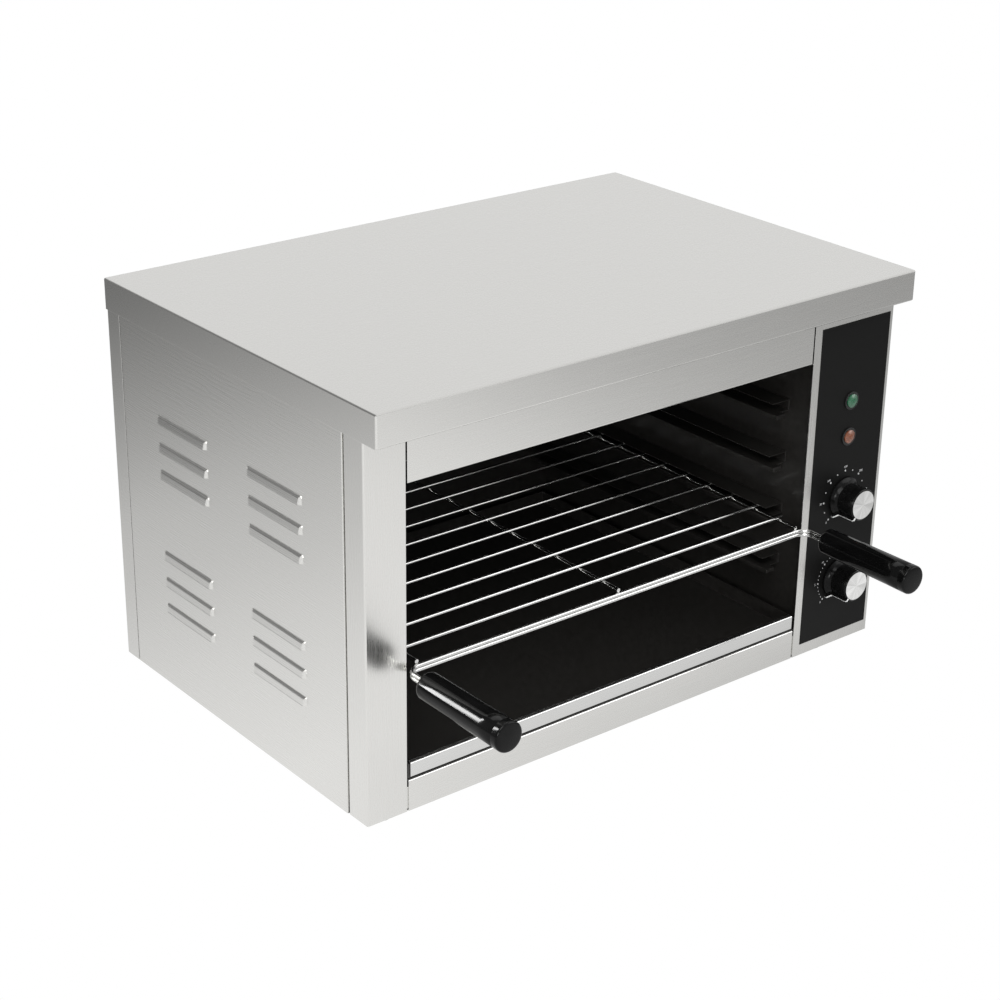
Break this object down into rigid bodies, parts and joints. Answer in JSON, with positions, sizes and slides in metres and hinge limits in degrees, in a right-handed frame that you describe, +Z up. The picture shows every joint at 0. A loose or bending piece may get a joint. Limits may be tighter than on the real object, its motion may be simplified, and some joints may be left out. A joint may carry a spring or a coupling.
{
  "type": "countertop cheese melter",
  "caption": "Countertop electric cheese melter: folded stainless casing, open-fronted enamelled grill chamber, sliding wire rack with two grips, crumb tray and side control column.",
  "frame": {"origin": "bottom centre of the outline, on the surface that the feet stand on", "axes": "+Z up, the open front faces -Y, +X to the right of someone facing the front"},
  "size_m": [0.5848, 0.5314, 0.38],
  "materials": {
    "stainless": "brushed",
    "enamel": "gloss vitreous enamel",
    "label_black": "satin printed overlay",
    "chrome_wire": "bright",
    "grip_black": "gloss",
    "knob_black": "gloss",
    "cap_aluminium": "spun",
    "plated_steel": "zinc plated",
    "heater_sheath": "oxidised",
    "brass": "turned",
    "lens_green": "translucent",
    "lens_amber": "translucent",
    "black_plastic": "matt moulded",
    "pale_plastic": "matt moulded",
    "wire_insulation": "silicone sleeve",
    "rubber": "matt"
  },
  "bodies": {
    "casing": {"top_cover": "stainless", "left_front_post": "stainless", "front_header": "stainless", "front_fascia": "stainless", "control_column": "stainless", "control_label": "label_black", "left_side_panel": "stainless", "right_side_panel": "stainless", "rear_panel": "stainless", "base_plate": "stainless", "left_chamber_wall": "enamel", "right_chamber_wall": "enamel", "chamber_back": "enamel", "chamber_roof": "enamel", "chamber_floor": "enamel", "left_runners": "enamel", "right_runners": "enamel", "front_heating_tube": "heater_sheath", "rear_heating_tube": "heater_sheath", "heating_tube_bushes": "brass", "heating_tube_hangers": "plated_steel", "thermostat": "pale_plastic", "temperature_bulb": "plated_steel", "bulb_clips": "plated_steel", "timer": "black_plastic", "control_screws": "plated_steel", "power_lamp_body": "black_plastic", "power_lamp_lens": "lens_green", "heat_lamp_body": "black_plastic", "heat_lamp_lens": "lens_amber", "terminal_block": "pale_plastic", "terminal_screws": "brass", "wiring": "wire_insulation", "cable_gland": "black_plastic", "gland_cap": "black_plastic", "gland_seal": "rubber", "gland_locknut": "black_plastic", "bonding_stud": "brass", "bonding_nut": "brass", "feet": "rubber", "foot_bolts": "plated_steel", "foot_nuts": "plated_steel", "rear_screws": "plated_steel", "cover_screws": "plated_steel"},
    "rack": {"rack_upper_wire": "chrome_wire", "rack_lower_wire": "chrome_wire", "rack_long_wires": "chrome_wire", "rack_cross_wires": "chrome_wire", "left_grip": "grip_black", "right_grip": "grip_black"},
    "crumb_tray": {"tray_pan": "enamel", "tray_lip": "stainless"},
    "temperature_dial": {"temperature_knob": "knob_black", "temperature_knob_cap": "cap_aluminium", "temperature_spindle": "plated_steel"},
    "timer_dial": {"timer_knob": "knob_black", "timer_knob_cap": "cap_aluminium", "timer_spindle": "plated_steel"}
  },
  "joints": [
    {"name": "rack_slide", "type": "slide", "parent": "casing", "child": "rack", "axis": [0, -1, 0], "range_m": [0, 0.25]},
    {"name": "tray_slide", "type": "slide", "parent": "casing", "child": "crumb_tray", "axis": [0, -1, 0], "range_m": [0, 0.28]},
    {"name": "temperature_turn", "type": "hinge", "parent": "casing", "child": "temperature_dial", "pos_m": [0.24185, -0.13375, 0.1694], "axis": [0, 1, 0], "range_deg": [0, 276]},
    {"name": "timer_turn", "type": "hinge", "parent": "casing", "child": "timer_dial", "pos_m": [0.24185, -0.13375, 0.0884], "axis": [0, 1, 0], "range_deg": [0, 280]}
  ]
}
